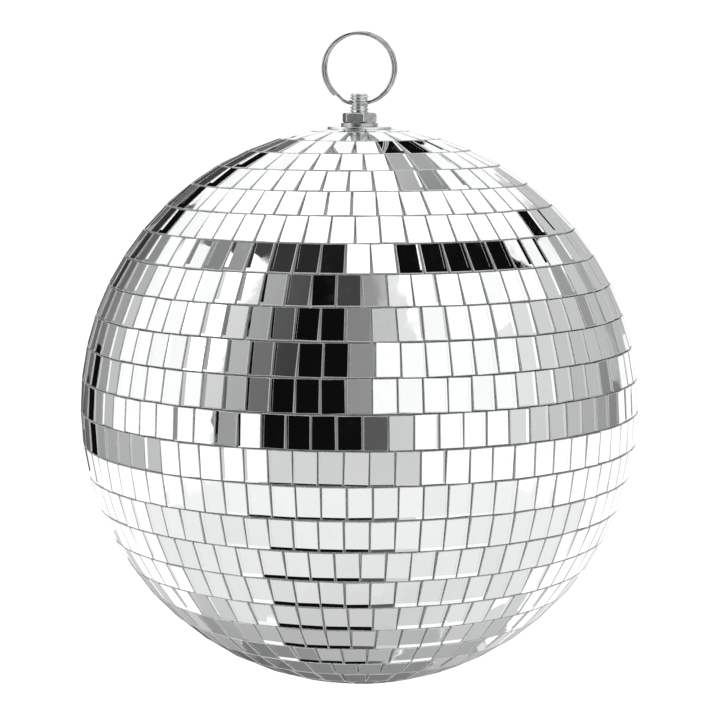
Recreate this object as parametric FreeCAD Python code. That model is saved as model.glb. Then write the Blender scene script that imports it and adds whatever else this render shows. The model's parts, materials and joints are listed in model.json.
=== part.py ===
import FreeCAD, Part
import math
import os

from FreeCAD import Vector

# A mirror ball, 180 mm across its tiles, that hangs from a split ring on a threaded stud.
# Lengths are in millimetres and angles in degrees. +Z is up, and the front is towards -Y.
# Everything is designed about the centre of the ball, and save() then moves it down, so that
# the origin of the written files is the point on the inside of the ring where a hook bears.

# ---- Driving dimensions -------------------------------------------------------------------

BALL_RADIUS = 90.0                 # to the outer corners of the mirror tiles

# Mirror tiles, cut from flat 1.5 mm glass and glued in level rows
ROW_ANGLE = 180.0 / 27             # one row, measured along a meridian
FULL_ROWS = 12                     # full rows from the equator up, and again down
TILE_WIDTH = 6.95
TILE_HEIGHT = 10.0
TILE_THICKNESS = 1.5
TILE_GAP = 0.42
COLLAR_LOW = 80.35                 # latitudes of the short last row around each pole
COLLAR_HIGH = 83.1
GOLDEN_FRACTION = (math.sqrt(5) - 1) / 2   # staggers the rows, so that no joints line up

# Cloth strips that carry the tiles
BACKING_THICKNESS = 0.35
BACKING_GLUE = 0.02
BACKING_GAP = 0.2

# Moulded core, two halves that lap at the equator
SHELL_RADIUS = 87.9
SHELL_WALL = 2.0
LAP_HEIGHT = 4.0
LAP_CLEARANCE = 0.05
LIP_THICKENING = 0.4               # how far the lip stands inside the wall
SEAT_RADIUS = 9.5                  # flat seat outside each pole
SEAT_TOP = 88.9
INNER_SEAT_RADIUS = 12.5           # flat seat inside the upper pole
INNER_SEAT_TOP = 84.6
STUD_HOLE = 6.6

# Discs at the poles
DISC_RADIUS = 10.25
DISC_THICKNESS = 1.0
DISC_EDGE = 0.2

# M6 stud, nuts and washers
THREAD_RADIUS = 3.0
THREAD_PITCH = 1.0
THREAD_DEPTH = 0.55
THREAD_CREST = 0.14
THREAD_CLEARANCE = 0.05
NUT_FLATS = 10.0
NUT_CHAMFER = 0.4
NUT_CHAMFER_SPREAD = 0.1           # the chamfer starts inside the flats and ends past the corners
NUT_TURN = 12.0                    # how far a corner of the nut stands from the front
OUTER_NUT_HEIGHT = 3.2
INNER_NUT_HEIGHT = 5.0
FLAT_WASHER_RADIUS = 5.9
FLAT_WASHER_THICKNESS = 1.2
WASHER_HOLE = 6.4
WASHER_EDGE = 0.15
FENDER_WASHER_RADIUS = 12.0
FENDER_WASHER_THICKNESS = 1.5
SPRING_WASHER_RADIUS = 5.7
SPRING_WASHER_THICKNESS = 1.6
SPRING_WASHER_SLIT = 0.9
SPRING_WASHER_SLANT = 25.0
STUD_ABOVE_NUT = 6.1
STUD_BELOW_NUT = 2.5
CROSS_HOLE = 3.0
CROSS_HOLE_DEPTH = 3.0             # from the end of the stud to the middle of the hole

# Split ring, two coils of round wire side by side
WIRE_RADIUS = 0.55
RING_RADIUS = 11.2                 # to the middle of the wire
COIL_OFFSET = 0.58                 # each coil's distance from the ring's middle plane
COIL_SHIFT_X = 0.35                # the coils aren't quite concentric
COIL_SHIFT_Z = 0.08
HOLE_DROP = 0.2                    # the curved wire's lowest point below the hole's middle
CROSSOVER_START = 229.0            # where the wire steps from one coil to the other
CROSSOVER_END = 249.0
CROSSOVER_STEPS = 6
WIRE_END_GAP = 1.5

CUT_MARGIN = 1.0                   # how far a cutter reaches past the surface that it cuts
ROUNDING = 0.001                   # lengths closer than this count as equal

# ---- Heights worked out from them, above the centre of the ball ---------------------------

DISC_TOP = SEAT_TOP + DISC_THICKNESS
OUTER_NUT_BOTTOM = DISC_TOP + FLAT_WASHER_THICKNESS
OUTER_NUT_TOP = OUTER_NUT_BOTTOM + OUTER_NUT_HEIGHT
STUD_TOP = OUTER_NUT_TOP + STUD_ABOVE_NUT
HINGE_HEIGHT = STUD_TOP - CROSS_HOLE_DEPTH
FENDER_WASHER_BOTTOM = INNER_SEAT_TOP - FENDER_WASHER_THICKNESS
SPRING_WASHER_BOTTOM = FENDER_WASHER_BOTTOM - SPRING_WASHER_THICKNESS
INNER_NUT_BOTTOM = SPRING_WASHER_BOTTOM - INNER_NUT_HEIGHT
STUD_BOTTOM = INNER_NUT_BOTTOM - STUD_BELOW_NUT
RING_HEIGHT = HINGE_HEIGHT - HOLE_DROP + RING_RADIUS
HANG_HEIGHT = RING_HEIGHT + RING_RADIUS - WIRE_RADIUS - COIL_SHIFT_Z

X_AXIS = Vector(1, 0, 0)
Y_AXIS = Vector(0, 1, 0)
Z_AXIS = Vector(0, 0, 1)
CENTRE = Vector(0, 0, 0)


# ---- Helpers ------------------------------------------------------------------------------

def on_circle(radius, angle):
    """The two coordinates of a point on a circle, at an angle from the first axis."""
    turn = math.radians(angle)
    return radius * math.cos(turn), radius * math.sin(turn)


def turned(points):
    """A solid of revolution about Z, from the outline points (radius, height)."""
    outline = Part.makePolygon([Vector(x, 0, z) for x, z in points + points[:1]])
    return Part.Face(outline).revolve(CENTRE, Z_AXIS, 360)


def mirrored_down(shape):
    """The same shape in the lower half of the ball, turned over about the X axis."""
    copy = shape.copy()
    copy.rotate(CENTRE, X_AXIS, 180)
    return copy


def save(name, shape):
    """Move the piece down to the hang point's frame, and write it as one STEP file."""
    placed = shape.copy()
    placed.translate(Vector(0, 0, -HANG_HEIGHT))
    placed.exportStep("parts/" + name + ".step")
    print(name, "solids", len(placed.Solids), "volume", round(placed.Volume, 2), placed.isValid())


# ---- Mirror tiles and their backing -------------------------------------------------------

def face_distance():
    """From the centre of the ball to the middle of a tile's face, with the corners on the sphere."""
    half_diagonal = math.hypot(TILE_WIDTH / 2, TILE_HEIGHT / 2)
    return math.sqrt(BALL_RADIUS ** 2 - half_diagonal ** 2)


def tile(latitude, height, low_width, high_width):
    """One flat glass tile at longitude 0, narrower on its edge nearer to the pole."""
    x, z = on_circle(1, latitude)
    outward = Vector(x, 0, z)
    up = Vector(-z, 0, x)
    middle = outward * face_distance()
    corners = [
        middle - up * (height / 2) - Y_AXIS * (low_width / 2),
        middle - up * (height / 2) + Y_AXIS * (low_width / 2),
        middle + up * (height / 2) + Y_AXIS * (high_width / 2),
        middle + up * (height / 2) - Y_AXIS * (high_width / 2),
    ]
    face = Part.Face(Part.makePolygon(corners + corners[:1]))
    return face.extrude(outward * -TILE_THICKNESS)


def tile_row(latitude, height, phase):
    """A level row of tiles. Tiles are trimmed on the polar edge, where the circle is shorter."""
    middle_radius = face_distance() * math.cos(math.radians(latitude))
    slope = math.sin(math.radians(latitude)) * height / 2
    count = round(2 * math.pi * middle_radius / (TILE_WIDTH + TILE_GAP))
    widths = []
    for edge_radius in (middle_radius + slope, middle_radius - slope):
        room = 2 * edge_radius * math.tan(math.pi / count) - TILE_GAP
        widths.append(min(TILE_WIDTH, room))
    pattern = tile(latitude, height, *widths)
    tiles = []
    for index in range(count):
        copy = pattern.copy()
        copy.rotate(CENTRE, Z_AXIS, 360 * (index + phase) / count)
        tiles.append(copy)
    return Part.makeCompound(tiles)


def backing_strip(latitude, half_height):
    """A conical band of cloth under one row."""
    outer = face_distance() - TILE_THICKNESS - BACKING_GLUE
    direction = on_circle(1, latitude)
    points = []
    for distance, along in (
        (outer, -half_height),
        (outer, half_height),
        (outer - BACKING_THICKNESS, half_height),
        (outer - BACKING_THICKNESS, -half_height),
    ):
        x = direction[0] * distance - direction[1] * along
        z = direction[1] * distance + direction[0] * along
        points.append((x, z))
    return turned(points)


def make_rows():
    """Every row of tiles from the equator to the pole, and the strips under them."""
    strips = []
    strip_radius = face_distance() - TILE_THICKNESS
    collar_height = math.radians(COLLAR_HIGH - COLLAR_LOW) * BALL_RADIUS
    full_strip = strip_radius * math.tan(math.radians(ROW_ANGLE / 2)) - BACKING_GAP / 2
    collar_strip = collar_height / 2 - BACKING_GAP
    rows = [(ROW_ANGLE * (row + 0.5), TILE_HEIGHT, full_strip) for row in range(FULL_ROWS)]
    rows.append(((COLLAR_LOW + COLLAR_HIGH) / 2, collar_height - TILE_GAP, collar_strip))
    for number, (latitude, height, strip_half_height) in enumerate(rows, 1):
        upper_phase = (number * GOLDEN_FRACTION) % 1
        lower_phase = (number * GOLDEN_FRACTION + 0.5) % 1
        save("upper_tiles_row_%02d" % number, tile_row(latitude, height, upper_phase))
        save("lower_tiles_row_%02d" % number,
             mirrored_down(tile_row(latitude, height, lower_phase)))
        strips.append(backing_strip(latitude, strip_half_height))
    backing = Part.makeCompound(strips)
    save("upper_backing_strips", backing)
    save("lower_backing_strips", mirrored_down(backing))


# ---- Core ---------------------------------------------------------------------------------

def dome(radius):
    """The upper half of a solid sphere."""
    return Part.makeSphere(radius, CENTRE, Z_AXIS, 0, 90, 360)


def make_shells():
    """Two moulded halves: the lower one's lip stands inside the upper one's rim."""
    inner_radius = SHELL_RADIUS - SHELL_WALL
    lap_radius = SHELL_RADIUS - SHELL_WALL / 2
    half = dome(SHELL_RADIUS).cut(dome(inner_radius))
    seat_foot = math.sqrt(SHELL_RADIUS ** 2 - SEAT_RADIUS ** 2) - SHELL_WALL / 2
    seat = turned([(0, seat_foot), (SEAT_RADIUS, seat_foot), (SEAT_RADIUS, SEAT_TOP), (0, SEAT_TOP)])
    pad_top = SHELL_RADIUS - SHELL_WALL / 2
    pad = turned([
        (0, INNER_SEAT_TOP), (INNER_SEAT_RADIUS, INNER_SEAT_TOP),
        (INNER_SEAT_RADIUS, math.sqrt(pad_top ** 2 - INNER_SEAT_RADIUS ** 2)), (0, pad_top),
    ])
    stud_hole = Part.makeCylinder(STUD_HOLE / 2, DISC_TOP)
    recess_height = LAP_HEIGHT + LAP_CLEARANCE
    recess = turned([
        (inner_radius - CUT_MARGIN, 0), (lap_radius + LAP_CLEARANCE, 0),
        (lap_radius + LAP_CLEARANCE, recess_height), (inner_radius - CUT_MARGIN, recess_height),
    ])
    upper = half.fuse([seat, pad]).cut([stud_hole, recess]).removeSplitter()
    save("upper_shell", upper)

    lip_radius = inner_radius - LIP_THICKENING
    lip = turned([
        (lip_radius, -SHELL_WALL), (lap_radius, -SHELL_WALL),
        (lap_radius, LAP_HEIGHT), (lip_radius, LAP_HEIGHT),
    ])
    lower = mirrored_down(half.fuse(seat)).fuse(lip).removeSplitter()
    save("lower_shell", lower)


# ---- Hardware at the poles ----------------------------------------------------------------

def round_plate(radius, bottom, thickness, edge, hole=0):
    """A disc or a washer with slightly broken edges."""
    top = bottom + thickness
    inner = hole / 2
    return turned([
        (inner, bottom), (radius - edge, bottom), (radius, bottom + edge),
        (radius, top - edge), (radius - edge, top), (inner, top),
    ])


def threaded_rod(bottom, top, extra=0):
    """A round bar with V grooves at the thread's pitch. extra widens it, to cut a nut's bore."""
    root = THREAD_RADIUS - THREAD_DEPTH + extra
    crest = THREAD_RADIUS + extra
    points = [(0, bottom), (root, bottom)]
    height = bottom
    while height + THREAD_PITCH < top + ROUNDING:
        middle = height + THREAD_PITCH / 2
        points.append((crest, middle - THREAD_CREST / 2))
        points.append((crest, middle + THREAD_CREST / 2))
        height += THREAD_PITCH
        points.append((root, height))
    if height < top - ROUNDING:
        points.append((root, top))
    points.append((0, top))
    return turned(points)


def hex_nut(bottom, height):
    """A hexagonal nut, chamfered on both faces, with its thread cut to run on the stud."""
    corner_radius = NUT_FLATS / math.sqrt(3)
    corners = []
    for side in range(6):
        x, y = on_circle(corner_radius, NUT_TURN - 90 + 60 * side)
        corners.append(Vector(x, y, bottom))
    prism = Part.Face(Part.makePolygon(corners + corners[:1])).extrude(Z_AXIS * height)
    top = bottom + height
    face_radius = NUT_FLATS / 2 - NUT_CHAMFER_SPREAD
    widest = corner_radius + NUT_CHAMFER_SPREAD
    chamfers = turned([
        (0, bottom), (face_radius, bottom), (widest, bottom + NUT_CHAMFER),
        (widest, top - NUT_CHAMFER), (face_radius, top), (0, top),
    ])
    bore = threaded_rod(STUD_BOTTOM, STUD_TOP, THREAD_CLEARANCE)
    return prism.common(chamfers).cut(bore)


def spring_washer():
    """A flat coil of square wire with a slanting slit."""
    washer = round_plate(SPRING_WASHER_RADIUS, SPRING_WASHER_BOTTOM, SPRING_WASHER_THICKNESS,
                         WASHER_EDGE, WASHER_HOLE)
    slit_height = SPRING_WASHER_THICKNESS + 2 * CUT_MARGIN
    slit = Part.makeBox(SPRING_WASHER_RADIUS, SPRING_WASHER_SLIT, slit_height)
    slit.translate(Vector(0, -SPRING_WASHER_SLIT / 2, -slit_height / 2))
    slit.rotate(CENTRE, X_AXIS, SPRING_WASHER_SLANT)
    slit.translate(Vector(0, 0, SPRING_WASHER_BOTTOM + SPRING_WASHER_THICKNESS / 2))
    return washer.cut(slit)


def make_hardware():
    """The stud, everything clamped between its two nuts, and the disc at the lower pole."""
    stud = threaded_rod(STUD_BOTTOM, STUD_TOP)
    reach = THREAD_RADIUS + CUT_MARGIN
    cross_hole = Part.makeCylinder(CROSS_HOLE / 2, 2 * reach, Vector(-reach, 0, HINGE_HEIGHT), X_AXIS)
    save("threaded_stud", stud.cut(cross_hole))
    save("outer_nut", hex_nut(OUTER_NUT_BOTTOM, OUTER_NUT_HEIGHT))
    save("inner_nut", hex_nut(INNER_NUT_BOTTOM, INNER_NUT_HEIGHT))
    save("flat_washer", round_plate(FLAT_WASHER_RADIUS, DISC_TOP, FLAT_WASHER_THICKNESS,
                                    WASHER_EDGE, WASHER_HOLE))
    save("fender_washer", round_plate(FENDER_WASHER_RADIUS, FENDER_WASHER_BOTTOM,
                                      FENDER_WASHER_THICKNESS, WASHER_EDGE, WASHER_HOLE))
    save("spring_washer", spring_washer())
    save("top_disc", round_plate(DISC_RADIUS, SEAT_TOP, DISC_THICKNESS, DISC_EDGE, WASHER_HOLE))
    save("bottom_disc", mirrored_down(round_plate(DISC_RADIUS, SEAT_TOP, DISC_THICKNESS, DISC_EDGE)))


# ---- Split ring ---------------------------------------------------------------------------

def wire_point(angle, side):
    """A point on the wire's middle line. side runs from -1, the front coil, to +1, the back one."""
    x, z = on_circle(RING_RADIUS, angle)
    return Vector(x + COIL_SHIFT_X * side, COIL_OFFSET * side, z + COIL_SHIFT_Z * side + RING_HEIGHT)


def smooth_step(part):
    """0 to 1 with level ends."""
    return part * part * (3 - 2 * part)


def coil_edges(first_angle, last_angle, side):
    """Two arcs that make up one coil, run clockwise as seen from the front."""
    middle = (first_angle + last_angle) / 2
    edges = []
    for start, end in ((first_angle, middle), (middle, last_angle)):
        angles = (start, (start + end) / 2, end)
        edges.append(Part.Arc(*[wire_point(angle, side) for angle in angles]).toShape())
    return edges


def make_ring():
    """The wire's middle line is an arc, a smooth step across, and a second arc."""
    front_start = CROSSOVER_START - WIRE_END_GAP
    front_end = CROSSOVER_END - 360
    back_start = CROSSOVER_START - 360
    back_end = CROSSOVER_END + WIRE_END_GAP - 720
    points = []
    for step in range(CROSSOVER_STEPS + 1):
        part = step / CROSSOVER_STEPS
        angle = front_end + (back_start - front_end) * part
        points.append(wire_point(angle, 2 * smooth_step(part) - 1))
    tangents = []
    for angle in (front_end, back_start):
        turn = math.radians(angle)
        tangents.append(Vector(math.sin(turn), 0, -math.cos(turn)))
    crossover = Part.BSplineCurve()
    crossover.interpolate(Points=points, InitialTangent=tangents[0], FinalTangent=tangents[1])
    edges = coil_edges(front_start, front_end, -1) + [crossover.toShape()]
    edges += coil_edges(back_start, back_end, 1)
    path = Part.Wire(edges)
    start = wire_point(front_start, -1)
    turn = math.radians(front_start)
    section = Part.Wire(Part.makeCircle(WIRE_RADIUS, start, Vector(math.sin(turn), 0, -math.cos(turn))))
    ring = path.makePipeShell([section], True, True)
    expected = math.pi * WIRE_RADIUS ** 2 * path.Length
    print("ring wire length", round(path.Length, 2), "volume over section times length",
          round(ring.Volume / expected, 4))
    save("split_ring", ring)


os.makedirs("parts", exist_ok=True)
make_rows()
make_shells()
make_hardware()
make_ring()
print("hang height", round(HANG_HEIGHT, 3), "hinge height", round(HINGE_HEIGHT - HANG_HEIGHT, 3),
      "ring centre", round(RING_HEIGHT - HANG_HEIGHT, 3), "ball centre", round(-HANG_HEIGHT, 3))
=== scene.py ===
import json
import math
import random

import bmesh
import bpy
import numpy as np
from mathutils import Matrix, Vector


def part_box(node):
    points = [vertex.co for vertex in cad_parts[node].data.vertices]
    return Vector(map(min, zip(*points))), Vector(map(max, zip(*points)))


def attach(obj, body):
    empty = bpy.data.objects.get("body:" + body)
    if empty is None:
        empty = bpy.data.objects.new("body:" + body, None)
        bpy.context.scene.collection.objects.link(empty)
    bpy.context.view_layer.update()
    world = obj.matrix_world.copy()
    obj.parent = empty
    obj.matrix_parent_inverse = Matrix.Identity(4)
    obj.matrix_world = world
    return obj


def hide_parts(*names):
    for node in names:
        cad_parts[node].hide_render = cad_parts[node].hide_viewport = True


# A mirror ball: bevelled glass tiles on cloth strips, with its stud, nut, washer, discs and split
# ring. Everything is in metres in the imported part's frame, and every place is read from that frame.

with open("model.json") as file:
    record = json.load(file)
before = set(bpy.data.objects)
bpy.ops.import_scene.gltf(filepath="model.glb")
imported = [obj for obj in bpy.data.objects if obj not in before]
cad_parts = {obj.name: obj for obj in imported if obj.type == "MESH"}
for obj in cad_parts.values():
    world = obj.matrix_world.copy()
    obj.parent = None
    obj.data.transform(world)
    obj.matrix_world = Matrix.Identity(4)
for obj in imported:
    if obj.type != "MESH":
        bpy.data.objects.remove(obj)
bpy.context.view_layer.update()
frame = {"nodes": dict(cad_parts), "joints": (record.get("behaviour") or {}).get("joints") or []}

MM = 0.001
SEED = 41

# Tiles
BEVEL = 0.14 * MM                # width of the ground edge round each mirror
BEVEL_SOFTENING = 0.04 * MM      # small flat between the ground edge and the tile's side
CORNER_ROUND = 0.18 * MM
CORNER_STEPS = 3
TILT_SPREAD = 0.45               # degrees, how unevenly the tiles are glued down
TURN_SPREAD = 0.75               # degrees, in the tile's own plane
CUT_SPREAD = 0.08 * MM           # how far hand cutting moves a corner
SLIP_SPREAD = 0.05 * MM          # how far a tile sits from its place in the row
TILE_RINGS = 4                   # rings of points from a mirror's edge down to the tile's back
MERGE_DIGITS = 7                 # CAD points that agree to this many decimals are one corner

# Images of a tile's own sides, seen in its mirror through the glass
GLASS_INDEX = 1.5
EYE_RISE = 8.6                   # degrees above level, the height that the images are worked out for
LOWER_IMAGE_RISE = 8.0           # degrees above level, where a lower side's image seems to face
LOWER_IMAGE_LIMIT = 1.7 * MM
LOWER_IMAGE_LOWEST = -52.0       # degrees, tiles that face further down don't show theirs
LOWER_IMAGE_SPREAD = 27.0        # degrees to each side of the front and the back, where it shows
SIDE_IMAGE_LIMIT = 1.1 * MM
SIDE_IMAGE_LEAST = 0.35 * MM     # narrower images of the upright sides are left out
SIDE_IMAGE_TURN = 7.0            # degrees, the most that such an image seems turned from its tile
SIDE_IMAGE_LINE = 0.10 * MM      # line between such an image and the rest of the mirror

# Backing cloth
CLOTH_GLUE = 0.02 * MM
CLOTH_THICKNESS = 0.35 * MM
CLOTH_THREAD = 0.45 * MM
CLOTH_OVERHANG = 0.02 * MM       # how far a strip reaches past its row of tiles
CLOTH_WAVE = 0.02 * MM           # how far its cut edges wander
CLOTH_WAVES = (11, 29)           # waves round the ball, the second ones lower
CLOTH_SECOND_WAVE = 0.6
CLOTH_SEGMENTS = 288

# Discs, washers and nuts
WASHER_HOLE = 3.2 * MM
WASHER_CORNER = 0.15 * MM
DISC_CORNER = 0.2 * MM
DISC_BEVEL = 0.3 * MM
FACES_DOWN = -0.99               # a face whose normal is lower than this is the round mirror's front
NUT_FLATS = 10.0 * MM
NUT_TURN = 12.0                  # degrees, how far a corner of the nut stands from the front
NUT_BORE = 3.02 * MM
NUT_COUNTERSINK = (0.45 * MM, 0.5 * MM)   # its width and its depth
NUT_CHAMFER = 30.0               # degrees
NUT_CORNER_REACH = 3.0           # degrees, how far the broken upright edges reach from each corner
NUT_SOFTENING = 0.12 * MM        # how much the edges are broken
NUT_ROUNDING = ((0.5, -0.2), (0.0, 0.6))   # a broken edge's points, in and down, as parts of that
NUT_SEGMENTS = 240

# Threads and wire
THREAD_PITCH = 1.0 * MM
THREAD_DEPTH = 0.55 * MM
THREAD_CREST = 0.07              # half a crest's width and a flank's, as parts of the pitch
THREAD_FLANK = 0.40
STUD_HOLE = 1.5 * MM
STUD_CHAMFER = 0.6 * MM
STUD_END_FLAT = 0.1 * MM
THREAD_SEGMENTS = 72
LEVELS_PER_PITCH = 12
WIRE_RADIUS = 0.55 * MM
COIL_SHIFT = Vector((0.35, 0, 0.08)) * MM
CROSSOVER = (229.0, 249.0)       # degrees, where the wire steps from one coil to the other
WIRE_END_GAP = 1.5
WIRE_END_ROUND = 0.16 * MM
WIRE_END_SHOULDER = 0.3          # the rounding's middle step, as a part of it
RING_STEPS_PER_TURN = 180
WIRE_SEGMENTS = 20

UP = Vector((0, 0, 1))
LOWER_RIGHT = 1                  # a tile's corners run from the lower left one, anticlockwise
UPPER_RIGHT = 2
UPPER_LEFT = 3
RIGHT_POINT = 2 * CORNER_STEPS   # places of the extra points on a tile's outline
TOP_POINT = 3 * CORNER_STEPS + 1
LEFT_POINT = 4 * CORNER_STEPS + 3
OUTLINE_POINTS = LEFT_POINT + 1
MIRROR_SLOT, BEVEL_SLOT, SIDE_SLOT = range(3)   # a tile's materials


# ---- Mesh helpers -------------------------------------------------------------------------

def new_object(name, verts, faces, smooth=True):
    """A mesh object at the origin."""
    mesh = bpy.data.meshes.new(name)
    mesh.from_pydata([tuple(v) for v in verts], [], faces)
    mesh.validate()
    mesh.update()
    mesh.polygons.foreach_set("use_smooth", [smooth] * len(mesh.polygons))
    obj = bpy.data.objects.new(name, mesh)
    bpy.context.scene.collection.objects.link(obj)
    return obj


def add_piece(obj, body, materials, node):
    """Puts the piece on its body's empty, hides the CAD node that it takes the place of, and gives it its
    materials.
    """
    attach(obj, body)
    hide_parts(node)
    for material in materials:
        obj.data.materials.append(material)


def sharp_edges(obj, degrees):
    """Shade smoothly, except across edges sharper than the angle."""
    limit = math.radians(degrees)
    mesh = obj.data
    normals = [p.normal.copy() for p in mesh.polygons]
    sides = {}
    for polygon in mesh.polygons:
        for key in polygon.edge_keys:
            sides.setdefault(key, []).append(polygon.index)
    for edge in mesh.edges:
        pair = sides.get(edge.key, [])
        if len(pair) == 2:
            edge.use_edge_sharp = normals[pair[0]].angle(normals[pair[1]], 0) > limit


def make_normals_point_out(obj):
    """Turn every face of a closed piece outwards."""
    work = bmesh.new()
    work.from_mesh(obj.data)
    bmesh.ops.recalc_face_normals(work, faces=work.faces)
    work.to_mesh(obj.data)
    work.free()


def tube_faces(rings, around, ends="capped", first=0):
    """Faces that join rings of vertices. The ends are capped, open, or joined to each other."""
    faces = []
    for ring in range(rings if ends == "joined" else rings - 1):
        a = first + ring * around
        b = first + (ring + 1) % rings * around
        for step in range(around):
            following = (step + 1) % around
            faces.append((a + step, a + following, b + following, b + step))
    if ends == "capped":
        last = first + (rings - 1) * around
        faces.append(tuple(reversed(range(first, first + around))))
        faces.append(tuple(range(last, last + around)))
    return faces


def lathe(name, profile, segments=128, closed=False):
    """A turned piece about Z. A closed profile is a ring, such as a washer."""
    verts = []
    for radius, height in profile:
        for step in range(segments):
            turn = 2 * math.pi * step / segments
            verts.append((radius * math.cos(turn), radius * math.sin(turn), height))
    faces = tube_faces(len(profile), segments, "joined" if closed else "capped")
    return new_object(name, verts, faces)


def rounded(corner_a, corner, corner_b, radius, steps=4):
    """A small arc that rounds one corner of a profile."""
    here = Vector(corner)
    back = (Vector(corner_a) - here).normalized() * radius
    ahead = (Vector(corner_b) - here).normalized() * radius
    points = []
    for step in range(steps + 1):
        part = step / steps
        points.append(here + back * (1 - part) ** 2 + ahead * part ** 2)
    return [tuple(p) for p in points]


def soft_profile(points, radius):
    """A closed profile with every corner rounded."""
    result = []
    for index, point in enumerate(points):
        result += rounded(points[index - 1], point, points[(index + 1) % len(points)], radius)
    return result


# ---- Procedural materials -----------------------------------------------------------------

class Shader:
    """A material's node tree, with short names for the nodes that are used here."""

    def __init__(self, name, color, metallic, roughness):
        self.material = bpy.data.materials.new(name)
        self.material.use_nodes = True
        self.tree = self.material.node_tree
        self.bsdf = self.tree.nodes["Principled BSDF"]
        self.bsdf.inputs["Base Color"].default_value = (*color, 1)
        self.bsdf.inputs["Metallic"].default_value = metallic
        self.bsdf.inputs["Roughness"].default_value = roughness

    def node(self, kind, **settings):
        node = self.tree.nodes.new(kind)
        for key, value in settings.items():
            setattr(node, key, value)
        return node

    def link(self, source, target):
        self.tree.links.new(source, target)

    def position(self, scale=(1, 1, 1)):
        """The point in the object's own space, in millimetres, stretched by scale."""
        coordinates = self.node("ShaderNodeTexCoord")
        mapping = self.node("ShaderNodeMapping")
        mapping.inputs["Scale"].default_value = [s / MM for s in scale]
        self.link(coordinates.outputs["Object"], mapping.inputs["Vector"])
        return mapping.outputs["Vector"]

    def noise(self, vector, scale, detail=4.0, roughness=0.55):
        noise = self.node("ShaderNodeTexNoise")
        noise.inputs["Scale"].default_value = scale
        noise.inputs["Detail"].default_value = detail
        noise.inputs["Roughness"].default_value = roughness
        self.link(vector, noise.inputs["Vector"])
        return noise.outputs["Fac"]

    def attribute(self, name):
        return self.node("ShaderNodeAttribute", attribute_name=name).outputs["Fac"]

    def facing(self, name):
        """A direction stored on the faces in the object's own space, turned into the world's."""
        stored = self.node("ShaderNodeAttribute", attribute_name=name)
        turned = self.node("ShaderNodeVectorTransform", vector_type="NORMAL",
                           convert_from="OBJECT", convert_to="WORLD")
        self.link(stored.outputs["Vector"], turned.inputs["Vector"])
        return turned.outputs["Vector"]

    def scaled(self, value, source, target):
        """The value, stretched so that the source range becomes the target range."""
        ranged = self.node("ShaderNodeMapRange")
        for socket, number in zip(("From Min", "From Max", "To Min", "To Max"), source + target):
            ranged.inputs[socket].default_value = number
        self.link(value, ranged.inputs["Value"])
        return ranged.outputs["Result"]

    def math(self, operation, first, second):
        node = self.node("ShaderNodeMath", operation=operation)
        for socket, value in zip(node.inputs, (first, second)):
            if isinstance(value, (int, float)):
                socket.default_value = value
            else:
                self.link(value, socket)
        return node.outputs["Value"]

    def color(self, factor, first, second):
        mix = self.node("ShaderNodeMix", data_type="RGBA")
        mix.inputs["A"].default_value = (*first, 1)
        mix.inputs["B"].default_value = (*second, 1)
        self.link(factor, mix.inputs["Factor"])
        self.link(mix.outputs["Result"], self.bsdf.inputs["Base Color"])

    def roughness(self, value):
        self.link(value, self.bsdf.inputs["Roughness"])

    def bump(self, height, strength, distance, facing=None):
        bump = self.node("ShaderNodeBump")
        if facing:
            self.link(facing, bump.inputs["Normal"])
        bump.inputs["Strength"].default_value = strength
        bump.inputs["Distance"].default_value = distance
        self.link(height, bump.inputs["Height"])
        self.link(bump.outputs["Normal"], self.bsdf.inputs["Normal"])


def mirror_material():
    """Silvered glass: bright, faintly smudged, with small differences from tile to tile."""
    shader = Shader("silvered_mirror", (0.95, 0.955, 0.96), 1.0, 0.03)
    point = shader.position()
    smudges = shader.noise(point, scale=0.16, detail=5.0, roughness=0.6)
    specks = shader.noise(point, scale=2.4, detail=2.0, roughness=0.5)
    haze = shader.scaled(smudges, (0.45, 0.75), (0.012, 0.085))
    dust = shader.scaled(specks, (0.68, 0.80), (0.0, 0.10))
    shader.roughness(shader.math("ADD", haze, dust))
    tone = shader.math("MULTIPLY", shader.attribute("tile_tone"), 0.7)
    tone_blend = shader.math("ADD", tone, shader.scaled(smudges, (0.5, 0.8), (0.0, 0.3)))
    shader.color(tone_blend, (0.975, 0.98, 0.985), (0.86, 0.875, 0.88))
    waves = shader.noise(point, scale=0.10, detail=2.0, roughness=0.4)
    shader.bump(waves, strength=0.05, distance=0.4 * MM, facing=shader.facing("seen_facing"))
    return shader.material


def glass_bevel_material():
    """The ground edge round a mirror: satin glass over the silver, with chips."""
    shader = Shader("ground_glass_bevel", (0.66, 0.68, 0.68), 0.8, 0.3)
    point = shader.position()
    chips = shader.noise(point, scale=3.2, detail=3.0, roughness=0.6)
    grinding = shader.noise(shader.position((1, 1, 6)), scale=0.9, detail=3.0, roughness=0.6)
    shader.roughness(shader.scaled(chips, (0.35, 0.75), (0.22, 0.5)))
    shader.color(shader.scaled(chips, (0.42, 0.72), (0.0, 1.0)), (0.52, 0.53, 0.53), (0.86, 0.87, 0.87))
    shader.bump(grinding, strength=0.25, distance=0.06 * MM)
    return shader.material


def glass_side_material():
    """The cut side of a tile: frosted glass, with the cutter's marks and some chips. Its mid to dark greys
    are painted shade for the narrow gaps between the tiles.
    """
    shader = Shader("cut_glass_side", (0.50, 0.53, 0.52), 0.0, 0.4)
    chips = shader.noise(shader.position(), scale=1.7, detail=4.0, roughness=0.65)
    marks = shader.noise(shader.position((1, 1, 5)), scale=1.1, detail=3.0, roughness=0.6)
    shader.roughness(shader.scaled(marks, (0.3, 0.75), (0.18, 0.6)))
    # painted shade: frosted glass is pale, and these greys stand for the shade deep in the gaps; the chips
    # only spread them
    shader.color(shader.scaled(chips, (0.40, 0.75), (0.0, 1.0)), (0.62, 0.64, 0.635), (0.28, 0.30, 0.295))
    shader.bump(marks, strength=0.4, distance=0.08 * MM)
    return shader.material


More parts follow.
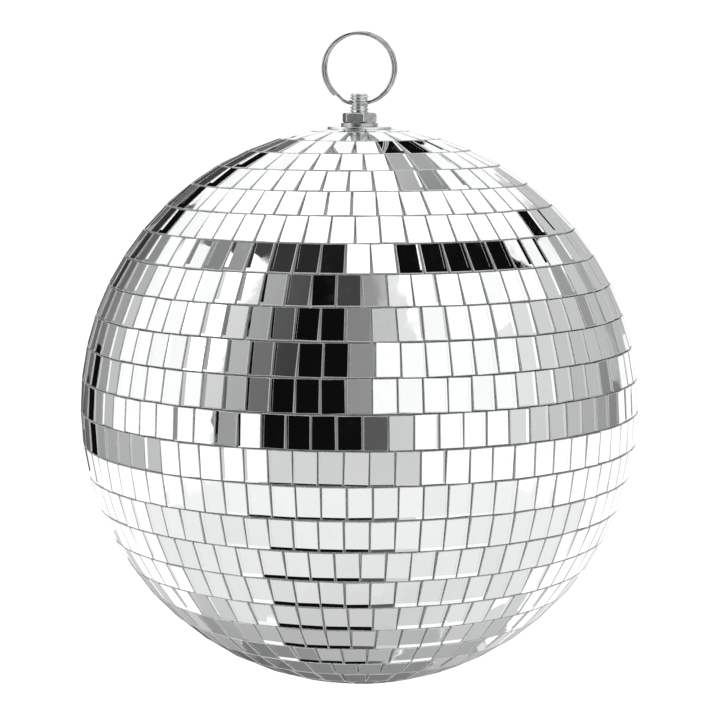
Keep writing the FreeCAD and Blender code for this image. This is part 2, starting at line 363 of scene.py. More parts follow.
def cloth_material():
    """Plain-woven pale backing cloth. The weave follows the strip's own two directions."""
    shader = Shader("woven_backing", (0.78, 0.78, 0.78), 0.0, 0.85)
    threads = []
    for name in ("weave_along", "weave_across"):
        turns = shader.math("MULTIPLY", shader.attribute(name), math.pi * 2)
        threads.append(shader.math("SINE", turns, 0.0))
    weave = shader.math("MULTIPLY", *threads)
    lint = shader.noise(shader.position(), scale=1.4, detail=4.0, roughness=0.6)
    height = shader.math("ADD", weave, shader.math("MULTIPLY", lint, 0.8))
    # lower parts of the weave are darker: painted shade in the hollows between threads; the lint's pale and
    # dark spots are the cloth's own
    shader.color(shader.scaled(height, (-0.6, 1.4), (0.0, 1.0)), (0.58, 0.58, 0.58), (0.88, 0.88, 0.88))
    shader.bsdf.inputs["Sheen Weight"].default_value = 0.25
    shader.bump(height, strength=0.6, distance=0.05 * MM)
    return shader.material


def wire_material():
    """Bright nickel on spring wire, with drawn lines along it. Its colour is darkened to greys, a painted
    reflection of dark surroundings, varied by a noise.
    """
    shader = Shader("nickel_wire", (0.80, 0.80, 0.81), 1.0, 0.12)
    point = shader.position()
    lines = shader.noise(shader.position((0.25, 9.0, 0.25)), scale=0.8, detail=3.0, roughness=0.6)
    tone_blend = shader.noise(point, scale=0.5, detail=4.0, roughness=0.6)
    shader.roughness(shader.scaled(lines, (0.3, 0.7), (0.07, 0.24)))
    # painted reflection: these dark greys stand for the dark surroundings that the nickel reflects
    shader.color(shader.scaled(tone_blend, (0.4, 0.75), (0.0, 1.0)), (0.50, 0.50, 0.505), (0.28, 0.28, 0.28))
    shader.bump(lines, strength=0.15, distance=0.03 * MM)
    return shader.material


def zinc_material(name, bright, dull):
    """Zinc-plated steel, bright where it is worn and duller where the plating is cloudy."""
    shader = Shader(name, bright, 1.0, 0.28)
    point = shader.position()
    clouds = shader.noise(point, scale=0.55, detail=5.0, roughness=0.6)
    scratches = shader.noise(shader.position((4.0, 4.0, 0.35)), scale=1.3, detail=3.0, roughness=0.65)
    shader.roughness(shader.scaled(clouds, (0.3, 0.75), (0.16, 0.44)))
    shader.color(shader.scaled(clouds, (0.35, 0.72), (0.0, 1.0)), bright, dull)
    shader.bump(scratches, strength=0.2, distance=0.04 * MM)
    return shader.material


def disc_material():
    """Pale satin metal with fine turned rings."""
    shader = Shader("turned_disc", (0.82, 0.83, 0.84), 1.0, 0.3)
    coordinates = shader.node("ShaderNodeTexCoord")
    split = shader.node("ShaderNodeSeparateXYZ")
    shader.link(coordinates.outputs["Object"], split.inputs["Vector"])
    x = split.outputs["X"]
    y = split.outputs["Y"]
    squares = shader.math("ADD", shader.math("MULTIPLY", x, x), shader.math("MULTIPLY", y, y))
    radius = shader.math("SQRT", squares, 0.0)
    rings = shader.math("SINE", shader.math("MULTIPLY", radius, 2 * math.pi / (0.22 * MM)), 0.0)
    clouds = shader.noise(shader.position(), scale=0.3, detail=4.0, roughness=0.6)
    shader.roughness(shader.scaled(clouds, (0.3, 0.75), (0.18, 0.36)))
    shader.color(shader.scaled(clouds, (0.4, 0.75), (0.0, 1.0)), (0.86, 0.865, 0.87), (0.68, 0.69, 0.70))
    shader.bump(rings, strength=0.12, distance=0.02 * MM)
    return shader.material


def plastic_material():
    """Moulded grey plastic with a fine spark-eroded grain."""
    shader = Shader("moulded_core", (0.32, 0.33, 0.34), 0.0, 0.55)
    grain = shader.noise(shader.position(), scale=3.0, detail=3.0, roughness=0.6)
    flow = shader.noise(shader.position((1, 1, 0.2)), scale=0.06, detail=3.0, roughness=0.5)
    shader.roughness(shader.scaled(grain, (0.3, 0.7), (0.45, 0.65)))
    shader.color(shader.scaled(flow, (0.35, 0.7), (0.0, 1.0)), (0.34, 0.35, 0.36), (0.27, 0.28, 0.29))
    shader.bump(grain, strength=0.25, distance=0.05 * MM)
    return shader.material


MIRROR = mirror_material()
GLASS_BEVEL = glass_bevel_material()
GLASS_SIDE = glass_side_material()
CLOTH = cloth_material()
WIRE = wire_material()
# ZINC's greys are darker than zinc's own: partly cloudy plating, partly a painted reflection of dark
# surroundings on the nuts and washers
ZINC = zinc_material("zinc_plate", (0.66, 0.665, 0.67), (0.34, 0.345, 0.35))
THREAD_ZINC = zinc_material("zinc_plate_worn", (0.90, 0.905, 0.91), (0.44, 0.445, 0.45))
DISC = disc_material()
PLASTIC = plastic_material()

BALL_CENTRE = Vector((0, 0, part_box("upper_shell")[0][2]))
HINGE = Vector(frame["joints"][0]["pos_m"])


# ---- Mirror tiles -------------------------------------------------------------------------

def separate_blocks(node):
    """The corner points of each tile in a CAD row, one array for each tile."""
    mesh = frame["nodes"][node].data
    points = np.empty(len(mesh.vertices) * 3)
    mesh.vertices.foreach_get("co", points)
    merged, owner = np.unique(points.reshape(-1, 3).round(MERGE_DIGITS), axis=0, return_inverse=True)
    owner = owner.ravel()
    parent = list(range(len(merged)))

    def root(index):
        while parent[index] != index:
            parent[index] = parent[parent[index]]
            index = parent[index]
        return index

    for edge in mesh.edges:
        first, second = (root(owner[v]) for v in edge.vertices)
        parent[first] = second
    blocks = {}
    for index in range(len(merged)):
        blocks.setdefault(root(index), []).append(merged[index])
    return [np.array(block) for block in blocks.values()]


class Tile:
    """One tile's place: the middle of its face, its outward and upward directions and its outline."""

    def __init__(self, block):
        corners = [Vector(c) for c in block]
        middle = sum(corners, Vector()) / len(corners)
        level = (middle - BALL_CENTRE).normalized()
        corners.sort(key=lambda c: (c - middle).dot(level))
        back = corners[:4]
        front = corners[-4:]
        self.centre = sum(front, Vector()) / 4
        depth = self.centre - sum(back, Vector()) / 4
        self.thickness = depth.length
        self.normal = depth.normalized()
        self.up = (UP - self.normal * UP.dot(self.normal)).normalized()
        self.right = self.up.cross(self.normal)
        outline = [((c - self.centre).dot(self.right), (c - self.centre).dot(self.up)) for c in front]
        self.outline = sorted(outline, key=lambda p: math.atan2(p[1], p[0]))
        self.azimuth = math.atan2(self.normal.y, self.normal.x)


def inset_outline(corners, inset, level, cuts):
    """The outline moved inwards by the same distance on every side, with its corners rounded.

    It runs from the lower left corner. The two upright sides also get a point each at the level
    given, and the upper side gets two, at the distances given by cuts from its right end.
    """
    lines = []
    for index in range(4):
        start = Vector(corners[index])
        end = Vector(corners[(index + 1) % 4])
        along = (end - start).normalized()
        inward = Vector((-along.y, along.x))
        lines.append((start + inward * inset, along))
    moved = []
    for index in range(4):
        (p, d), (q, e) = lines[index - 1], lines[index]
        reach = (q - p).cross(e) / d.cross(e)
        moved.append(p + d * reach)
    points = []
    for index in range(4):
        here = moved[index]
        following = moved[(index + 1) % 4]
        back = (moved[index - 1] - here).normalized()
        ahead = (following - here).normalized()
        for step in range(CORNER_STEPS):
            part = step / (CORNER_STEPS - 1)
            points.append(here + (back * (1 - part) ** 2 + ahead * part ** 2) * CORNER_ROUND)
        if index in (LOWER_RIGHT, UPPER_LEFT):
            points.append(here + (following - here) * (level - here.y) / (following.y - here.y))
        if index == UPPER_RIGHT:
            points += [here + ahead * (cut - inset) for cut in cuts]
    return points


def edge_image_size(angle, thickness):
    """How far in from its edge a mirror seen at an angle shows its own side, through the glass."""
    inside = math.asin(min(1.0, abs(math.sin(angle)) / GLASS_INDEX))
    return 2 * thickness * math.tan(inside)


class EdgeImages:
    """Where a tile's mirror shows its own lower side and one of its upright sides.

    Glass mirrors show them because light runs from the silver to the side and back out. The
    upright side is the one further from somebody in front of the ball or behind it.
    """

    def __init__(self, tile):
        rise = math.asin(tile.normal.z)
        below = rise - math.radians(EYE_RISE)
        across = math.atan2(tile.normal.x, abs(tile.normal.y))
        if tile.normal.y > 0:
            across = -across
        self.height = min(edge_image_size(below, tile.thickness), LOWER_IMAGE_LIMIT)
        self.lower_facing = tile.normal
        near_front = abs(across) < math.radians(LOWER_IMAGE_SPREAD)
        if math.radians(LOWER_IMAGE_LOWEST) < rise < 0 and near_front:
            self.lower_facing = self.direction(tile.azimuth, math.radians(LOWER_IMAGE_RISE))
        self.width = min(edge_image_size(across, tile.thickness), SIDE_IMAGE_LIMIT)
        self.on_right = across > 0
        self.shown = self.width > SIDE_IMAGE_LEAST
        turn = math.radians(SIDE_IMAGE_TURN)
        self.side_facing = tile.normal
        if self.shown:
            self.side_facing = self.direction(tile.azimuth - max(-turn, min(turn, across)), rise)

    @staticmethod
    def direction(azimuth, rise):
        """A unit vector, from its angle about Z and its rise above level."""
        level = Vector((math.cos(azimuth), math.sin(azimuth), 0))
        return level * math.cos(rise) + UP * math.sin(rise)

    def cuts(self, tile_width):
        """Both edges of the line beside the upright side's image, from the tile's right side."""
        near = BEVEL + max(self.width, SIDE_IMAGE_LEAST)
        far = near + SIDE_IMAGE_LINE
        return (near, far) if self.on_right else (tile_width - far, tile_width - near)


def tile_points(tile, images, chance):
    """Rings of points from the mirror's edge down to the tile's back, then two on the mirror."""
    slip = Vector((chance.gauss(0, SLIP_SPREAD), chance.gauss(0, SLIP_SPREAD)))
    corners = []
    for corner in tile.outline:
        cut = Vector((chance.uniform(-1, 1), chance.uniform(-1, 1))) * CUT_SPREAD
        corners.append(Vector(corner) + slip + cut)
    level = max(corners[0].y, corners[LOWER_RIGHT].y) + BEVEL + images.height
    cuts = images.cuts((corners[UPPER_LEFT] - corners[UPPER_RIGHT]).length)
    lean = Matrix.Rotation(math.radians(chance.gauss(0, TILT_SPREAD)), 3, tile.right)
    sway = Matrix.Rotation(math.radians(chance.gauss(0, TILT_SPREAD)), 3, tile.up)
    turn = Matrix.Rotation(math.radians(chance.gauss(0, TURN_SPREAD)), 3, tile.normal)
    pose = lean @ sway @ turn
    steps = (
        (BEVEL, 0.0),
        (BEVEL_SOFTENING, BEVEL - BEVEL_SOFTENING),
        (0.0, BEVEL + BEVEL_SOFTENING),
        (0.0, tile.thickness),
    )
    places = []
    for inset, depth in steps:
        places += [(point, depth) for point in inset_outline(corners, inset, level, cuts)]
    right = places[RIGHT_POINT][0]
    left = places[LEFT_POINT][0]
    for cut in cuts:
        places.append((right + (left - right).normalized() * (cut - BEVEL), 0.0))
    points = []
    for point, depth in places:
        local = tile.right * point.x + tile.up * point.y - tile.normal * depth
        points.append(tile.centre + pose @ local)
    return points


def store_for_mirror(piece, tones, facings):
    """What the mirror's material reads from each face: its tone, and the direction it seems to face."""
    tone_layer = piece.data.attributes.new("tile_tone", "FLOAT", "FACE")
    tone_layer.data.foreach_set("value", tones)
    facing_layer = piece.data.attributes.new("seen_facing", "FLOAT_VECTOR", "FACE")
    facing_layer.data.foreach_set("vector", facings)


def tile_faces():
    """The walls from the mirror down, the back, and then the mirror's lower, middle and side parts."""
    walls = tube_faces(TILE_RINGS, OUTLINE_POINTS, "open")
    inner_right = TILE_RINGS * OUTLINE_POINTS
    back = tuple(range(inner_right - OUTLINE_POINTS, inner_right))
    inner_left = inner_right + 1
    lower = tuple(range(RIGHT_POINT + 1)) + (inner_right, inner_left, LEFT_POINT)
    line = (TOP_POINT, TOP_POINT + 1, inner_left, inner_right)
    right = tuple(range(RIGHT_POINT, TOP_POINT + 1)) + (inner_right,)
    left = tuple(range(TOP_POINT + 1, OUTLINE_POINTS)) + (inner_left,)
    return walls + [back], [lower, line, right, left]


def make_tiles(node, chance):
    """Every tile of one row, as one piece in the row's place. Gives back the tiles' places."""
    tiles = sorted((Tile(block) for block in separate_blocks(node)), key=lambda t: t.azimuth)
    body, mirror = tile_faces()
    bevels = 2 * OUTLINE_POINTS
    verts = []
    faces = []
    materials = []
    tones = []
    facings = []
    for tile in tiles:
        first = len(verts)
        images = EdgeImages(tile)
        verts += tile_points(tile, images, chance)
        tone = chance.random() ** 2
        for face in body + mirror:
            faces.append([first + v for v in face])
            tones.append(tone)
        materials += [BEVEL_SLOT] * bevels + [SIDE_SLOT] * (len(body) - bevels)
        # the line beside an upright side's image gets the bevel's greyer, rougher material: a painted
        # reflection of the tile's ground edge, seen through the glass
        line_slot = BEVEL_SLOT if images.shown else MIRROR_SLOT
        materials += [MIRROR_SLOT, line_slot, MIRROR_SLOT, MIRROR_SLOT]
        sides = [tile.normal, images.side_facing]
        if images.on_right:
            sides.reverse()
        for facing in [tile.normal] * len(body) + [images.lower_facing, tile.normal] + sides:
            facings.extend(facing)
    piece = new_object(node.replace("_tiles_", "_mirror_tiles_"), verts, faces, smooth=False)
    make_normals_point_out(piece)
    piece.data.polygons.foreach_set("material_index", materials)
    store_for_mirror(piece, tones, facings)
    add_piece(piece, "ball", (MIRROR, GLASS_BEVEL, GLASS_SIDE), node)
    return tiles


def make_backing(half, rows):
    """Cloth strips under one half's rows, a little wavy along their cut edges."""
    chance = random.Random(SEED + len(half))
    verts = []
    faces = []
    along = []
    across = []
    section = ((0, -1), (0, 0), (0, 1), (CLOTH_THICKNESS, 1), (CLOTH_THICKNESS, 0), (CLOTH_THICKNESS, -1))
    for tiles in rows:
        tile = tiles[0]
        levels = [corner[1] for corner in tile.outline]
        half_height = (max(levels) - min(levels)) / 2 + CLOTH_OVERHANG
        distance = (tile.centre - BALL_CENTRE).dot(tile.normal) - tile.thickness - CLOTH_GLUE
        rise = tile.normal.z
        run = math.hypot(tile.normal.x, tile.normal.y)
        phases = [chance.uniform(0, 2 * math.pi) for _ in range(4)]
        first = len(verts)
        for depth, side in section:
            for step in range(CLOTH_SEGMENTS):
                turn = 2 * math.pi * step / CLOTH_SEGMENTS
                wave = math.sin(CLOTH_WAVES[0] * turn + phases[side + 1])
                wave += CLOTH_SECOND_WAVE * math.sin(CLOTH_WAVES[1] * turn + phases[3])
                offset = side * (half_height + CLOTH_WAVE * wave)
                radius = (distance - depth) * run - rise * offset
                level = (distance - depth) * rise + run * offset
                verts.append((radius * math.cos(turn), radius * math.sin(turn), BALL_CENTRE.z + level))
                along.append(turn * distance * run / CLOTH_THREAD)
                across.append(offset / CLOTH_THREAD)
        faces += tube_faces(len(section), CLOTH_SEGMENTS, "joined", first)
    piece = new_object(half + "_woven_strips", verts, faces)
    for name, values in (("weave_along", along), ("weave_across", across)):
        layer = piece.data.attributes.new(name, "FLOAT", "POINT")
        layer.data.foreach_set("value", values)
    sharp_edges(piece, degrees=40)
    add_piece(piece, "ball", (CLOTH,), half + "_backing_strips")


def make_ball():
    """All the rows of both halves, with the cloth under them."""
    chance = random.Random(SEED)
    for half in ("upper", "lower"):
        names = sorted(n for n in frame["nodes"] if n.startswith(half + "_tiles_row_"))
        rows = [make_tiles(name, chance) for name in names]
        make_backing(half, rows)


# ---- Hardware -----------------------------------------------------------------------------

def node_sizes(node):
    """A turned node's radius and its lowest and highest points."""
    low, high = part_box(node)
    return (high[0] - low[0]) / 2, low[2], high[2]


def make_washer(node, corner, material):
    """A washer or pierced disc with softly rounded corners."""
    radius, bottom, top = node_sizes(node)
    profile = [(WASHER_HOLE, bottom), (radius, bottom), (radius, top), (WASHER_HOLE, top)]
    piece = lathe(node + "_turned", soft_profile(profile, corner), closed=True)
    sharp_edges(piece, degrees=50)
    add_piece(piece, "ball", (material,), node)


def make_bottom_disc():
    """The round mirror that closes the lower pole, with a ground edge like the tiles'."""
    radius, bottom, top = node_sizes("bottom_disc")
    face = radius - DISC_BEVEL
    middle = face - DISC_BEVEL
    profile = [(middle, bottom), (face, bottom), (radius, bottom + DISC_BEVEL), (radius, top), (middle, top)]
    piece = lathe("bottom_disc_mirror", profile)
    make_normals_point_out(piece)
    materials = []
    facings = []
    for polygon in piece.data.polygons:
        materials.append(MIRROR_SLOT if polygon.normal.z < FACES_DOWN else BEVEL_SLOT)
        facings.extend(polygon.normal)
    store_for_mirror(piece, [0.0] * len(materials), facings)
    sharp_edges(piece, degrees=30)
    add_piece(piece, "ball", (MIRROR, GLASS_BEVEL), "bottom_disc")
    piece.data.polygons.foreach_set("material_index", materials)


def make_nut(node):
    """A hexagonal nut: curved chamfers on both faces, broken edges, and a countersunk bore."""
    corner_at = math.radians(NUT_TURN - 90)
    corner_reach = math.radians(NUT_CORNER_REACH)
    low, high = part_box(node)
    chamfer_start = NUT_FLATS / 2 - NUT_SOFTENING
    slope = math.tan(math.radians(NUT_CHAMFER))
    sink_width, sink_depth = NUT_COUNTERSINK
    rows = []
    for step in range(NUT_SEGMENTS):
        turn = 2 * math.pi * step / NUT_SEGMENTS
        from_flat = (turn - corner_at) % (math.pi / 3) - math.pi / 6
        near_corner = max(0.0, 1 - (math.pi / 6 - abs(from_flat)) / corner_reach)
        edge = NUT_FLATS / 2 / math.cos(from_flat) - NUT_SOFTENING * near_corner ** 2
        drop = max(0.0, edge - chamfer_start) * slope
        half = [(NUT_BORE, sink_depth), (NUT_BORE + sink_width, 0.0), (chamfer_start, 0.0)]
        for inwards, down in NUT_ROUNDING:
            half.append((edge - NUT_SOFTENING * inwards, drop + NUT_SOFTENING * down))
        column = [(r, high[2] - depth) for r, depth in half]
        column += [(r, low[2] + depth) for r, depth in reversed(half)]
        rows.append([(r * math.cos(turn), r * math.sin(turn), z) for r, z in column])
    verts = []
    levels = len(rows[0])
    for level in range(levels):
        verts += [row[level] for row in rows]
    piece = new_object(node + "_chamfered", verts, tube_faces(levels, NUT_SEGMENTS, "joined"))
    make_normals_point_out(piece)
    sharp_edges(piece, degrees=28)
    add_piece(piece, "ball", (ZINC,), node)


def make_stud():
    """A rod with a true helical thread, chamfered ends, and the cross hole that holds the ring."""
    radius, bottom, top = node_sizes("threaded_stud")
    levels = int(round((top - bottom) / THREAD_PITCH * LEVELS_PER_PITCH)) + 1
    verts = []
    for level in range(levels):
        height = bottom + (top - bottom) * level / (levels - 1)
        from_end = min(height - bottom, top - height)
        limit = radius - THREAD_DEPTH + max(0.0, from_end - STUD_END_FLAT) * THREAD_DEPTH / STUD_CHAMFER
        for step in range(THREAD_SEGMENTS):
            part = step / THREAD_SEGMENTS
            phase = ((height - bottom) / THREAD_PITCH - part) % 1
            flank = min(1.0, max(0.0, (abs(phase - 0.5) - THREAD_CREST) / THREAD_FLANK))
            here = min(radius - THREAD_DEPTH * flank, limit)
            turn = 2 * math.pi * part
            verts.append((here * math.cos(turn), here * math.sin(turn), height))
    piece = new_object("threaded_stud_helix", verts, tube_faces(levels, THREAD_SEGMENTS))
    make_normals_point_out(piece)
    reach = 4 * radius
    drill = lathe("drill", [(STUD_HOLE, -reach), (STUD_HOLE, reach)], segments=64)
    drill.data.transform(Matrix.Translation(HINGE) @ Matrix.Rotation(math.pi / 2, 4, "Y"))
    make_normals_point_out(drill)
    cut = piece.modifiers.new("cross_hole", "BOOLEAN")
    cut.operation = "DIFFERENCE"
    cut.solver = "EXACT"
    cut.object = drill
    bpy.context.view_layer.update()
    shape = bpy.data.meshes.new_from_object(piece.evaluated_get(bpy.context.evaluated_depsgraph_get()))
    piece.modifiers.clear()
    piece.data = shape
    bpy.data.objects.remove(drill)
    sharp_edges(piece, degrees=38)
    add_piece(piece, "ball", (THREAD_ZINC,), "threaded_stud")


def ring_point(angle, side, radius, centre, coil_offset):
    """A point on the wire's middle line. side is -1 on the front coil and +1 on the back one."""
    turn = math.radians(angle)
    around = Vector((radius * math.cos(turn), 0, radius * math.sin(turn)))
    return centre + around + COIL_SHIFT * side + Vector((0, coil_offset * side, 0))


def make_ring():
    """Two turns of round wire, with a smooth step between the coils and bluntly cut ends."""
    low, high = (Vector(c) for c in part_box("split_ring"))
    centre = (low + high) / 2
    radius = (high.x - low.x) / 2 - WIRE_RADIUS - COIL_SHIFT.x
    coil_offset = (high.y - low.y) / 2 - WIRE_RADIUS
    crossover_length = CROSSOVER[1] - CROSSOVER[0]
    first = CROSSOVER[0] - WIRE_END_GAP
    last = CROSSOVER[1] + WIRE_END_GAP - 720
    step_start = CROSSOVER[1] - 360
    steps = int(RING_STEPS_PER_TURN * (first - last) / 360)
    path = []
    for step in range(steps + 1):
        angle = first + (last - first) * step / steps
        part = min(1.0, max(0.0, (step_start - angle) / crossover_length))
        side = 2 * part * part * (3 - 2 * part) - 1
        path.append(ring_point(angle, side, radius, centre, coil_offset))
    shoulder = WIRE_END_ROUND * WIRE_END_SHOULDER
    rounding = [(WIRE_END_ROUND, WIRE_RADIUS - WIRE_END_ROUND), (shoulder, WIRE_RADIUS - shoulder)]
    verts = []
    rings = 0
    for index, point in enumerate(path):
        ahead = path[min(index + 1, len(path) - 1)]
        behind = path[max(index - 1, 0)]
        tangent = (ahead - behind).normalized()
        outward = point - centre
        outward = (outward - tangent * outward.dot(tangent)).normalized()
        sideways = tangent.cross(outward)
        sections = [(0.0, WIRE_RADIUS)]
        if index == 0:
            sections = [(-shift, wire) for shift, wire in rounding] + sections
        elif index == len(path) - 1:
            sections += reversed(rounding)
        for shift, wire in sections:
            rings += 1
            for step in range(WIRE_SEGMENTS):
                turn = 2 * math.pi * step / WIRE_SEGMENTS
                spoke = outward * math.cos(turn) + sideways * math.sin(turn)
                verts.append(point + tangent * shift + spoke * wire)
    piece = new_object("split_ring_wire", verts, tube_faces(rings, WIRE_SEGMENTS))
    make_normals_point_out(piece)
    sharp_edges(piece, degrees=50)
    add_piece(piece, "ring", (WIRE,), "split_ring")


def finish_cad_node(node, material):
    """A CAD piece whose shape is right keeps its mesh and gets the detailed material."""
    obj = frame["nodes"][node]
    obj.data.materials.clear()
    obj.data.materials.append(material)


def make_hardware():
    """Everything at the poles, and the core's two halves."""
    make_washer("flat_washer", WASHER_CORNER, ZINC)
    make_washer("fender_washer", WASHER_CORNER, ZINC)
    make_washer("top_disc", DISC_CORNER, DISC)
    make_bottom_disc()
    make_nut("outer_nut")
    make_nut("inner_nut")
    make_stud()
    make_ring()
    finish_cad_node("spring_washer", ZINC)
    finish_cad_node("upper_shell", PLASTIC)
    finish_cad_node("lower_shell", PLASTIC)


# ---- Studio -------------------------------------------------------------------------------

FLOOR_DROP = 0.55                # from the ball's middle down to the floor
FLOOR_HALF_SIZE = 14.0
ROOM_BRIGHTNESS = 1.04
LAMP_PLACE = Vector((-1.5, -0.9, 0.9))   # from the ball's middle
CARD_DISTANCE = 1.7              # from the ball's middle to the first card
CARD_STEP = 0.004                # each card stands this much nearer than the one before
UNDER_DISTANCE = 0.5             # the cards between the ball and the floor
CARD_STEPS = 12
BULGES = {"bar_right": 2.0}      # degrees, how far a card's middle is lifted


def floor_material():
    """Plain matt white, with a trace of mottling."""
    shader = Shader("pale_floor", (0.92, 0.92, 0.92), 0.0, 0.9)
    mottle = shader.noise(shader.position(), scale=0.004, detail=3.0, roughness=0.5)
    shader.color(mottle, (0.90, 0.90, 0.90), (0.94, 0.94, 0.94))
    shader.bsdf.inputs["Specular IOR Level"].default_value = 0.1
    return shader.material


def card_material():
    """Black matt card that glows with the tone stored at its corners, blended between them: painted light,
    not light falling on it.
    """
    shader = Shader("studio_card", (0, 0, 0), 0.0, 1.0)
    shader.bsdf.inputs["Specular IOR Level"].default_value = 0.0
    shader.bsdf.inputs["Emission Color"].default_value = (1, 1, 1, 1)
    shader.link(shader.attribute("card_tone"), shader.bsdf.inputs["Emission Strength"])
    return shader.material


def make_card(name, material, azimuths, left, right, tones, distance, bulge=0.0):
    """A curved card as seen from the ball.

    azimuths are its left and right sides in degrees, 0 being the front. left and right are the
    elevations of its foot and head on each side, and bulge lifts its middle. tones are those of
    the foot's two corners and then the head's, from 0, black, to 1, white.
    """
    verts = []
    shades = []
    for row in range(CARD_STEPS + 1):
        height = row / CARD_STEPS
        for column in range(CARD_STEPS + 1):
            part = column / CARD_STEPS
            azimuth = math.radians(azimuths[0] + (azimuths[1] - azimuths[0]) * part)
            foot = left[0] + (right[0] - left[0]) * part
            head = left[1] + (right[1] - left[1]) * part
            lift = bulge * 4 * part * (1 - part)
            elevation = math.radians(foot + (head - foot) * height + lift)
            direction = Vector((
                math.sin(azimuth) * math.cos(elevation),
                -math.cos(azimuth) * math.cos(elevation),
                math.sin(elevation),
            ))
            verts.append(BALL_CENTRE + direction * distance)
            low = tones[0] + (tones[1] - tones[0]) * part
            high = tones[2] + (tones[3] - tones[2]) * part
            shades.append(low + (high - low) * height)
    faces = []
    for row in range(CARD_STEPS):
        for column in range(CARD_STEPS):
            a = row * (CARD_STEPS + 1) + column
            b = a + CARD_STEPS + 1
            faces.append((a, a + 1, b + 1, b))
    card = new_object(name, verts, faces)
    layer = card.data.attributes.new("card_tone", "FLOAT", "POINT")
    layer.data.foreach_set("value", shades)
    card.data.materials.append(material)
    card.visible_camera = False
    card.visible_diffuse = False
    card.visible_shadow = False


def make_stage():
    """A pale floor well below the hanging ball, a white room and two soft lights."""
    verts = []
    for x, y in ((-1, -1), (1, -1), (1, 1), (-1, 1)):
        verts.append((x * FLOOR_HALF_SIZE, y * FLOOR_HALF_SIZE, BALL_CENTRE.z - FLOOR_DROP))
    floor = new_object("floor", verts, [(0, 1, 2, 3)])
    floor.data.materials.append(floor_material())

    world = bpy.data.worlds.new("white_room")
    world.use_nodes = True
    world.node_tree.nodes["Background"].inputs["Color"].default_value = (1, 1, 1, 1)
    world.node_tree.nodes["Background"].inputs["Strength"].default_value = ROOM_BRIGHTNESS
    bpy.context.scene.world = world

    sun = bpy.data.lights.new("overhead_fill", "SUN")
    sun.energy = 0.6
    sun.angle = math.radians(90)
    fill = bpy.data.objects.new("overhead_fill", sun)
    bpy.context.scene.collection.objects.link(fill)

    light = bpy.data.lights.new("soft_left", "AREA")
    light.size = 1.2
    light.energy = 6.0
    lamp = bpy.data.objects.new("soft_left", light)
    lamp.location = BALL_CENTRE + LAMP_PLACE
    lamp.rotation_euler = (-LAMP_PLACE).to_track_quat("-Z", "Y").to_euler()
    lamp.visible_camera = False
    bpy.context.scene.collection.objects.link(lamp)


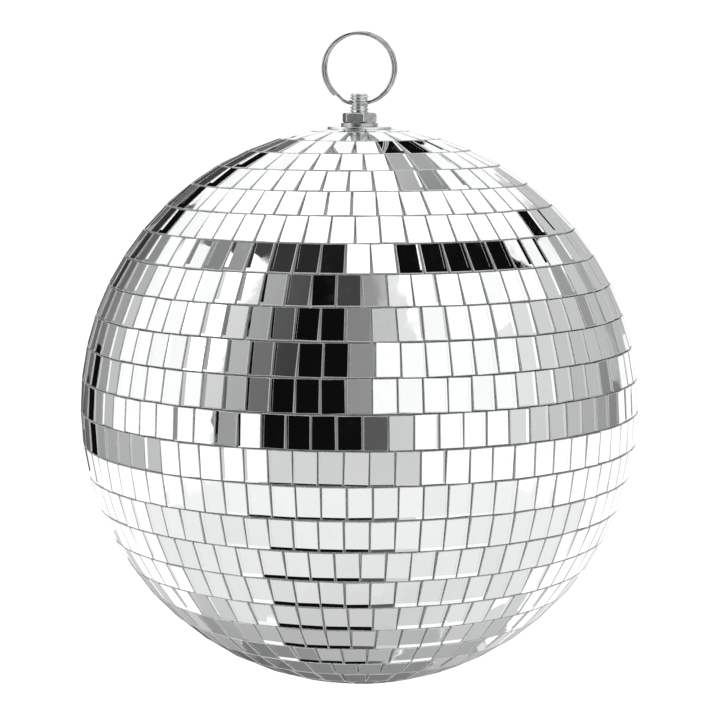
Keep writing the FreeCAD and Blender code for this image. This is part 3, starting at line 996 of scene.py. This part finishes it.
def make_cards():
    """Dark and grey cards round the ball, named by where they stand. They glow with their tones, painted
    light for a room's lit and dark parts, and show only in reflections. Mirrors need them to show shape.
    """
    material = card_material()
    black = (0.004,) * 4
    cards = (
        # in front, beside and above the camera
        ("column_low", (-40, 1), (-9, 5), (-9, 5), black),
        ("column_wide", (-34, -2), (5, 19), (5, 19), black),
        ("column", (-30, -2), (19, 34), (19, 34), black),
        ("column_high", (-38, -5), (34, 48), (34, 48), black),
        ("column_top", (-40, -20), (48, 62), (48, 62), black),
        ("column_top_right", (-20, -5), (48, 62), (48, 62), (0.05, 0.05, 0.07, 0.06)),
        ("column_left", (-46, -34), (4, 60), (4, 60), (0.22, 0.10, 0.16, 0.06)),
        ("column_left_edge", (-34, -30), (19, 34), (19, 34), (0.08, 0.04, 0.08, 0.04)),
        ("column_far_left", (-62, -46), (4, 54), (4, 58), (0.70, 0.34, 0.80, 0.30)),
        ("column_right", (-5, 9), (5, 60), (5, 62), (0.26, 0.36, 0.14, 0.30)),
        ("column_pale", (9, 24), (36, 58), (36, 60), (0.55, 0.80, 0.45, 0.80)),
        ("foot_right", (1, 12), (-9, 5), (-9, 5), (0.10, 0.12, 0.08, 0.10)),
        ("foot_far_right", (12, 20), (-9, 5), (-9, 5), (0.62, 0.70, 0.62, 0.70)),
        ("foot_far_left", (-62, -52), (-9, 1), (-9, 1), (0.22, 0.40, 0.30, 0.30)),
        ("under_column", (-40, 20), (-22, -9), (-22, -9), (0.74, 0.66, 0.66, 0.60)),
        ("under_column_left", (-40, -32), (-15, -9), (-15, -9), (0.06, 0.05, 0.03, 0.03)),
        # a bar overhead, on both sides of the column
        ("bar_left", (-80, -14), (55, 64), (63, 75), (0.06, 0.004, 0.03, 0.004)),
        ("bar_right", (29, 106), (60, 72), (38, 48), black),
        ("bar_far_left", (-112, -84), (40, 48), (47, 55), (0.16, 0.30, 0.20, 0.34)),
        # left
        ("left_wall", (-174, -140), (-12, 33), (-13, 30), (0.14, 0.14, 0.16, 0.14)),
        ("left_panel", (-140, -126), (-13, 30), (-13, 28), (0.20, 0.36, 0.20, 0.42)),
        ("left_slat", (-167, -160), (-10, 32), (-10, 32), (0.05, 0.05, 0.08, 0.05)),
        ("left_slat_middle", (-153, -149), (-12, 24), (-12, 24), (0.04, 0.04, 0.03, 0.03)),
        ("left_slat_right", (-146, -134), (-14, 4), (-14, 2), black),
        ("left_slat_pale", (-158, -155), (-10, 26), (-10, 26), (0.34, 0.34, 0.30, 0.30)),
        ("left_shelf", (-168, -140), (24, 33), (20, 29), black),
        ("left_bracket", (-142, -128), (32, 36), (31, 35), (0.12, 0.30, 0.12, 0.30)),
        ("left_pale", (-126, -112), (-10, 28), (-10, 24), (0.36, 0.68, 0.46, 0.80)),
        ("left_sill", (-132, -86), (-18, -9), (-18, -8), (0.32, 0.56, 0.32, 0.62)),
        # right
        ("right_sill", (60, 128), (-10, 0), (-10, 0), (0.78, 0.20, 0.82, 0.22)),
        ("right_pale", (68, 100), (0, 31), (0, 31), (0.80, 0.50, 0.84, 0.58)),
        ("right_wall", (100, 162), (0, 31), (0, 27), (0.50, 0.50, 0.62, 0.58)),
        ("right_slat", (116, 120), (-6, 30), (-6, 29), (0.24, 0.24, 0.36, 0.36)),
        ("right_slat_back", (132, 136), (-4, 28), (-4, 28), (0.36, 0.36, 0.42, 0.42)),
        ("right_spot", (122, 136), (32, 39), (27, 37), black),
        # behind
        ("back_frame", (167, 174), (31, 45), (29, 43), black),
        ("back_shelf", (152, 161), (37, 43), (24, 32), (0.10, 0.20, 0.12, 0.26)),
        ("back_panel", (140, 162), (54, 70), (50, 64), (0.16, 0.50, 0.30, 0.66)),
        ("back_pale", (158, 172), (46, 56), (46, 56), (0.36, 0.42, 0.40, 0.50)),
    )
    for index, (name, azimuths, left, right, tones) in enumerate(cards):
        distance = CARD_DISTANCE - CARD_STEP * index
        make_card(name, material, azimuths, left, right, tones, distance, BULGES.get(name, 0.0))
    # close under the ball, between it and the floor: grey glowing cards, darker behind, a painted shadow of
    # the ball on the floor for the lower tiles to reflect
    under = (
        ("under_front_far", (-105, 105), (-66, -24), (0.78, 0.78, 0.93, 0.93)),
        ("under_front", (-90, 90), (-89, -64), (0.54, 0.54, 0.76, 0.76)),
        ("under_back", (90, 270), (-89, -70), (0.54, 0.54, 0.46, 0.46)),
        ("under_back_middle", (160, 218), (-70, -50), (0.36, 0.30, 0.24, 0.18)),
        ("under_back_right", (112, 160), (-70, -46), (0.62, 0.38, 0.76, 0.30)),
        ("under_back_left", (218, 255), (-70, -46), (0.32, 0.60, 0.28, 0.74)),
        ("under_back_far", (172, 198), (-50, -20), (0.22, 0.16, 0.16, 0.10)),
        ("under_back_far_left", (198, 220), (-50, -22), (0.20, 0.60, 0.34, 0.90)),
        ("under_back_far_right", (152, 172), (-50, -22), (0.74, 0.30, 0.90, 0.26)),
    )
    for name, azimuths, elevations, tones in under:
        make_card(name, material, azimuths, elevations, elevations, tones, UNDER_DISTANCE)


# ---- Camera -------------------------------------------------------------------------------

def make_camera():
    """Eight to nine degrees above the ball's middle, aimed a little above it."""
    distance = 0.722
    elevation = math.radians(8.64)
    pitch = math.radians(7.48)
    camera = bpy.data.cameras.new("camera")
    camera.lens = 111.1
    camera.sensor_width = 36.0
    obj = bpy.data.objects.new("camera", camera)
    obj.location = BALL_CENTRE + Vector((0, -math.cos(elevation), math.sin(elevation))) * distance
    obj.rotation_euler = (math.pi / 2 - pitch, 0, 0)
    bpy.context.scene.collection.objects.link(obj)
    bpy.context.scene.camera = obj


make_camera()
make_ball()
make_hardware()
make_stage()
make_cards()
bpy.context.scene.view_settings.view_transform = "Standard"
